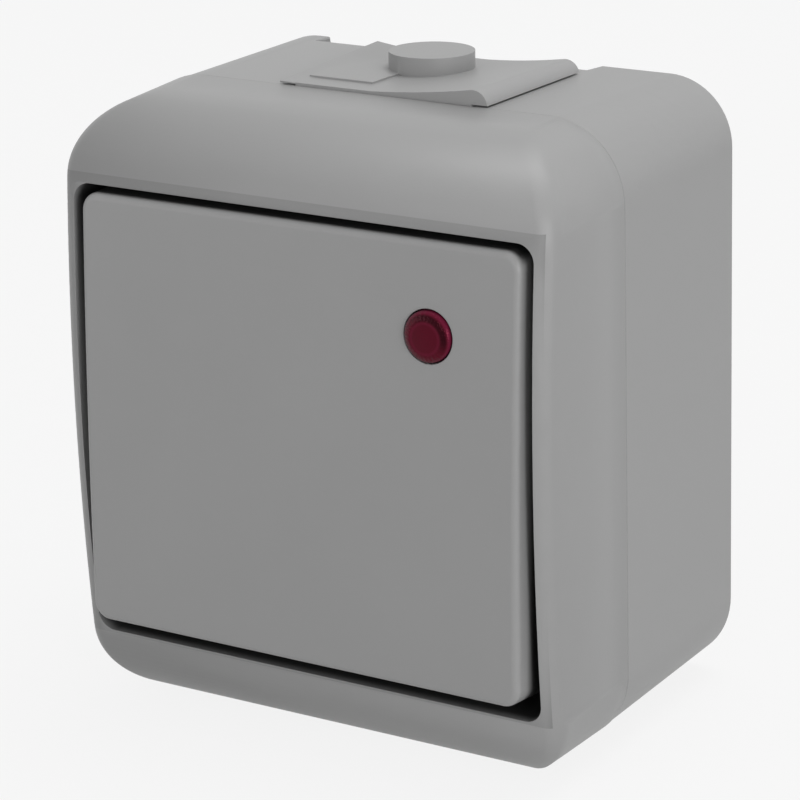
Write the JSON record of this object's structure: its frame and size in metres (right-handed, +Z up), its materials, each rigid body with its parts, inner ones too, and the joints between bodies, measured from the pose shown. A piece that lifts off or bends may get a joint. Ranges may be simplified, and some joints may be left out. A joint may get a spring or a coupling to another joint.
{
  "type": "surface mounted weatherproof rocker switch",
  "caption": "Grey surface-mounted weatherproof rocker switch with a drafted rear box, bowed hood, tilting key with red pilot lens, blind cable-entry insert and tumbling contact mechanism.",
  "frame": {"origin": "middle of the rear face that lies on the wall", "axes": "+Y into the wall, so the key faces -Y; +Z up; +X to the right as seen from the front"},
  "size_m": [0.066, 0.0468, 0.0779],
  "materials": {
    "case_plastic": "fine matt texture, mid grey",
    "key_plastic": "satin, mid grey",
    "insert_plastic": "satin, mid grey, softer than the case",
    "lens_plastic": "clear red, polished",
    "seal_rubber": "matt black",
    "mechanism_plastic": "matt off-white",
    "actuator_plastic": "smooth white",
    "terminal_brass": "rolled",
    "contact_silver": "silver alloy, pressed",
    "plated_steel": "zinc plated",
    "lamp_glass": "clear",
    "resistor_ceramic": "lacquered"
  },
  "bodies": {
    "case": {"rear_box": "case_plastic", "front_cover": "case_plastic", "cover_gasket": "seal_rubber", "cover_screws": "plated_steel", "cable_entry_insert": "insert_plastic", "mechanism_base": "mechanism_plastic", "mechanism_cover": "mechanism_plastic", "mechanism_gasket": "seal_rubber", "mechanism_screws": "plated_steel", "common_terminal": "terminal_brass", "switched_terminal": "terminal_brass", "fixed_contact": "contact_silver", "terminal_clamps": "plated_steel", "terminal_screws": "plated_steel", "lamp_holder": "mechanism_plastic", "lamp_bulb": "lamp_glass", "lamp_legs": "plated_steel", "lamp_resistor": "resistor_ceramic"},
    "key": {"rocker": "key_plastic", "indicator_lens": "lens_plastic", "actuator_cradle": "actuator_plastic", "actuator_spring": "plated_steel"},
    "plunger": {"actuator_plunger": "actuator_plastic"},
    "seesaw": {"contact_rocker": "terminal_brass", "moving_contact": "contact_silver"}
  },
  "joints": [
    {"name": "rocker_tilt", "type": "hinge", "parent": "case", "child": "key", "pos_m": [0, -0.035, -0.00025], "axis": [1, 0, 0], "range_deg": [0, 5]},
    {"name": "plunger_slide", "type": "slide", "parent": "key", "child": "plunger", "axis": [0, -0.999, 0.0436], "range_m": [0, 0.0022], "stiffness_N_per_m": 400, "springref_m": -0.004, "deforming": ["actuator_spring"]},
    {"name": "contact_tilt", "type": "hinge", "parent": "case", "child": "seesaw", "pos_m": [0, -0.0165, -0.00025], "axis": [1, 0, 0], "range_deg": [-8, 0]}
  ],
  "couplings": [
    {"joint": "contact_tilt", "follows": "rocker_tilt", "ratio": -1.6}
  ]
}
